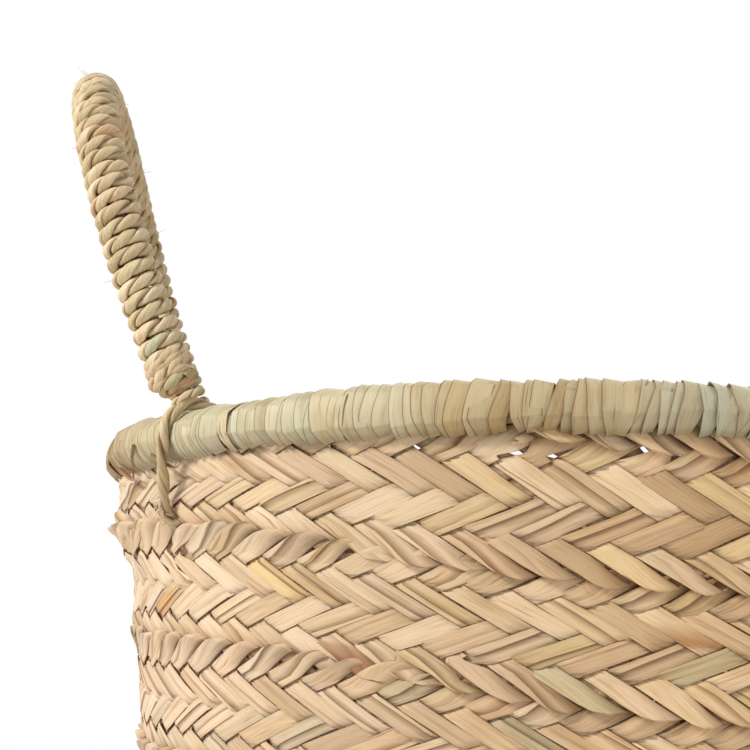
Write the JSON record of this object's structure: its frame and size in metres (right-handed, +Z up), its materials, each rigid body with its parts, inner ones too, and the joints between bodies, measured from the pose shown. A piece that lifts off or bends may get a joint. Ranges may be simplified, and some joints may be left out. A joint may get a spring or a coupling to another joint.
{
  "type": "belly basket",
  "caption": "Round belly basket of plaited palm leaf with a soft waisted collar, a leaf-bound rim and two cord-wound loop handles that swing.",
  "frame": {"origin": "middle of the flat base's underside, on the basket's axis", "axes": "+Z up along the basket's axis; the two handles stand at -X (left) and +X (right), and the pictured side faces -Y"},
  "size_m": [0.3648, 0.3652, 0.4529],
  "materials": {
    "plait": "dry palm leaf, matt to satin, plaited",
    "rim_leaf": "pale green leaf strip, satin, wound tight",
    "cord": "two-ply twisted leaf cord, matt",
    "reed": "raw reed, matt, hidden inside"
  },
  "bodies": {
    "basket": {"plait_start_disc": "plait", "plait_a_part_01": "plait", "plait_a_part_02": "plait", "plait_a_part_03": "plait", "plait_a_part_04": "plait", "plait_a_part_05": "plait", "plait_a_part_06": "plait", "plait_a_part_07": "plait", "plait_a_part_08": "plait", "plait_a_part_09": "plait", "plait_a_part_10": "plait", "plait_a_part_11": "plait", "plait_a_part_12": "plait", "plait_a_part_13": "plait", "plait_a_part_14": "plait", "plait_b_part_01": "plait", "plait_b_part_02": "plait", "plait_b_part_03": "plait", "plait_b_part_04": "plait", "plait_b_part_05": "plait", "plait_b_part_06": "plait", "plait_b_part_07": "plait", "plait_b_part_08": "plait", "plait_b_part_09": "plait", "plait_b_part_10": "plait", "plait_b_part_11": "plait", "plait_b_part_12": "plait", "plait_b_part_13": "plait", "plait_b_part_14": "plait", "rim_hoop": "reed", "rim_binding": "rim_leaf", "lashing_left_back": "cord", "lashing_left_front": "cord", "lashing_right_back": "cord", "lashing_right_front": "cord"},
    "handle_left": {"handle_left_core": "reed", "handle_left_winding": "cord", "handle_left_knot_back": "cord", "handle_left_knot_front": "cord"},
    "handle_right": {"handle_right_core": "reed", "handle_right_winding": "cord", "handle_right_knot_back": "cord", "handle_right_knot_front": "cord"}
  },
  "joints": [
    {"name": "handle_left_swing", "type": "hinge", "parent": "basket", "child": "handle_left", "pos_m": [-0.13062, 0, 0.32401], "axis": [0, -1, 0], "range_deg": [-85, 85]},
    {"name": "handle_right_swing", "type": "hinge", "parent": "basket", "child": "handle_right", "pos_m": [0.13062, 0, 0.32401], "axis": [0, 1, 0], "range_deg": [-85, 85]}
  ]
}
